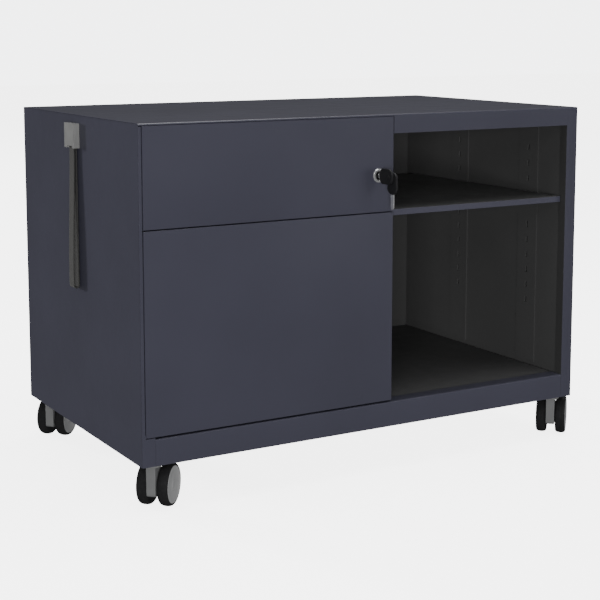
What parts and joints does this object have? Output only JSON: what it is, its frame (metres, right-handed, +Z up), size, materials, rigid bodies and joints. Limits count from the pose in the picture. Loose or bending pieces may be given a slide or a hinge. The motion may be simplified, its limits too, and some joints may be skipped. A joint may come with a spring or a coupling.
{
  "type": "mobile filing caddy",
  "caption": "Low steel cabinet on swivel casters with a box drawer over a filing drawer, an open shelf compartment, a key lock and a side pull strap.",
  "frame": {"origin": "middle of the bounding box's footprint, on the floor", "axes": "+Z up, the drawers open towards -Y, the open compartment is on the +X side, the pull strap on the -X side"},
  "size_m": [0.841, 0.539, 0.567],
  "materials": {
    "body_paint": "dark slate blue-grey powder coat, fine satin texture",
    "inner_paint": "darker satin powder coat inside",
    "zinc_steel": "bright zinc plating",
    "chrome": "polished chrome",
    "black_plastic": "black moulded plastic, satin",
    "clip_grey": "mid grey satin plastic",
    "webbing": "grey woven webbing",
    "tyre_rubber": "black soft tread",
    "caster_grey": "grey moulded nylon"
  },
  "bodies": {
    "root": {"side_panel_left": "body_paint", "side_panel_right": "body_paint", "top_panel": "body_paint", "back_panel": "body_paint", "base_panel": "body_paint", "plinth_rail": "body_paint", "divider_panel": "inner_paint", "compartment_liner": "inner_paint", "compartment_floor": "inner_paint", "runner_support_left": "zinc_steel", "runner_support_right": "zinc_steel", "shelf": "body_paint", "shelf_support_left": "inner_paint", "shelf_support_right": "inner_paint", "upper_slide_outer_left": "zinc_steel", "upper_slide_outer_right": "zinc_steel", "lower_slide_outer_left": "zinc_steel", "lower_slide_outer_right": "zinc_steel", "strap_clip": "clip_grey"},
    "upper_drawer": {"upper_drawer_front": "body_paint", "upper_drawer_tray": "inner_paint", "upper_slide_inner_left": "zinc_steel", "upper_slide_inner_right": "zinc_steel", "lock_body": "chrome"},
    "lower_drawer": {"lower_drawer_front": "body_paint", "lower_drawer_tray": "inner_paint", "lower_drawer_catch": "zinc_steel", "lower_slide_inner_left": "zinc_steel", "lower_slide_inner_right": "zinc_steel"},
    "lower_slide_middle": {"lower_slide_middle_left": "zinc_steel", "lower_slide_middle_right": "zinc_steel"},
    "lock_barrel": {"lock_barrel": "chrome", "lock_cam": "zinc_steel"},
    "locking_bar": {"locking_bar": "zinc_steel"},
    "key": {"key_head": "black_plastic", "key_blade": "chrome", "key_link": "black_plastic"},
    "spare_key": {"spare_key_head": "black_plastic", "spare_key_blade": "chrome"},
    "strap": {"pull_strap": "webbing"},
    "caster_front_left_swivel": {"caster_front_left_housing": "caster_grey"},
    "caster_front_left_wheel_a": {"caster_front_left_tyre_a": "tyre_rubber", "caster_front_left_hub_a": "caster_grey"},
    "caster_front_left_wheel_b": {"caster_front_left_tyre_b": "tyre_rubber", "caster_front_left_hub_b": "caster_grey"},
    "caster_back_left_swivel": {"caster_back_left_housing": "caster_grey"},
    "caster_back_left_wheel_a": {"caster_back_left_tyre_a": "tyre_rubber", "caster_back_left_hub_a": "caster_grey"},
    "caster_back_left_wheel_b": {"caster_back_left_tyre_b": "tyre_rubber", "caster_back_left_hub_b": "caster_grey"},
    "caster_front_right_swivel": {"caster_front_right_housing": "caster_grey"},
    "caster_front_right_wheel_a": {"caster_front_right_tyre_a": "tyre_rubber", "caster_front_right_hub_a": "caster_grey"},
    "caster_front_right_wheel_b": {"caster_front_right_tyre_b": "tyre_rubber", "caster_front_right_hub_b": "caster_grey"},
    "caster_back_right_swivel": {"caster_back_right_housing": "caster_grey"},
    "caster_back_right_wheel_a": {"caster_back_right_tyre_a": "tyre_rubber", "caster_back_right_hub_a": "caster_grey"},
    "caster_back_right_wheel_b": {"caster_back_right_tyre_b": "tyre_rubber", "caster_back_right_hub_b": "caster_grey"}
  },
  "joints": [
    {"name": "upper_drawer_slide", "type": "slide", "parent": "root", "child": "upper_drawer", "axis": [0, -1, 0], "range_m": [0, 0.3]},
    {"name": "lower_drawer_slide", "type": "slide", "parent": "root", "child": "lower_drawer", "axis": [0, -1, 0], "range_m": [0, 0.38]},
    {"name": "lower_slide_travel", "type": "slide", "parent": "root", "child": "lower_slide_middle", "axis": [0, -1, 0], "range_m": [0, 0.19]},
    {"name": "lock_turn", "type": "hinge", "parent": "upper_drawer", "child": "lock_barrel", "pos_m": [-0.00754, -0.22704, 0.473], "axis": [0, -1, 0], "range_deg": [0, 90]},
    {"name": "locking_bar_lift", "type": "slide", "parent": "root", "child": "locking_bar", "axis": [0, 0, 1], "range_m": [0, 0.008]},
    {"name": "key_withdraw", "type": "slide", "parent": "lock_barrel", "child": "key", "axis": [0, -1, 0], "range_m": [0, 0.024]},
    {"name": "spare_key_swing", "type": "hinge", "parent": "key", "child": "spare_key", "pos_m": [-0.00504, -0.25754, 0.473], "axis": [-1, 0, 0], "range_deg": [-12, 80]},
    {"name": "strap_swing", "type": "hinge", "parent": "root", "child": "strap", "pos_m": [-0.41354, 0.00896, 0.518], "axis": [0, 1, 0], "range_deg": [0, 70]},
    {"name": "caster_front_left_turn", "type": "hinge", "parent": "root", "child": "caster_front_left_swivel", "pos_m": [-0.38404, -0.20504, 0.065], "axis": [0, 0, 1], "continuous": true},
    {"name": "caster_front_left_roll_a", "type": "hinge", "parent": "caster_front_left_swivel", "child": "caster_front_left_wheel_a", "pos_m": [-0.36707, -0.18807, 0.0325], "axis": [-0.7071, 0.7071, 0], "continuous": true},
    {"name": "caster_front_left_roll_b", "type": "hinge", "parent": "caster_front_left_swivel", "child": "caster_front_left_wheel_b", "pos_m": [-0.36707, -0.18807, 0.0325], "axis": [-0.7071, 0.7071, 0], "continuous": true},
    {"name": "caster_back_left_turn", "type": "hinge", "parent": "root", "child": "caster_back_left_swivel", "pos_m": [-0.38404, 0.21396, 0.065], "axis": [0, 0, 1], "continuous": true},
    {"name": "caster_back_left_roll_a", "type": "hinge", "parent": "caster_back_left_swivel", "child": "caster_back_left_wheel_a", "pos_m": [-0.36707, 0.23093, 0.0325], "axis": [-0.7071, 0.7071, 0], "continuous": true},
    {"name": "caster_back_left_roll_b", "type": "hinge", "parent": "caster_back_left_swivel", "child": "caster_back_left_wheel_b", "pos_m": [-0.36707, 0.23093, 0.0325], "axis": [-0.7071, 0.7071, 0], "continuous": true},
    {"name": "caster_front_right_turn", "type": "hinge", "parent": "root", "child": "caster_front_right_swivel", "pos_m": [0.36496, -0.20504, 0.065], "axis": [0, 0, 1], "continuous": true},
    {"name": "caster_front_right_roll_a", "type": "hinge", "parent": "caster_front_right_swivel", "child": "caster_front_right_wheel_a", "pos_m": [0.38193, -0.18807, 0.0325], "axis": [-0.7071, 0.7071, 0], "continuous": true},
    {"name": "caster_front_right_roll_b", "type": "hinge", "parent": "caster_front_right_swivel", "child": "caster_front_right_wheel_b", "pos_m": [0.38193, -0.18807, 0.0325], "axis": [-0.7071, 0.7071, 0], "continuous": true},
    {"name": "caster_back_right_turn", "type": "hinge", "parent": "root", "child": "caster_back_right_swivel", "pos_m": [0.36496, 0.21396, 0.065], "axis": [0, 0, 1], "continuous": true},
    {"name": "caster_back_right_roll_a", "type": "hinge", "parent": "caster_back_right_swivel", "child": "caster_back_right_wheel_a", "pos_m": [0.38193, 0.23093, 0.0325], "axis": [-0.7071, 0.7071, 0], "continuous": true},
    {"name": "caster_back_right_roll_b", "type": "hinge", "parent": "caster_back_right_swivel", "child": "caster_back_right_wheel_b", "pos_m": [0.38193, 0.23093, 0.0325], "axis": [-0.7071, 0.7071, 0], "continuous": true}
  ],
  "couplings": [
    {"joint": "lower_slide_travel", "follows": "lower_drawer_slide", "ratio": 0.5},
    {"joint": "lock_turn", "follows": "locking_bar_lift", "rad_per_m": 196.35}
  ]
}
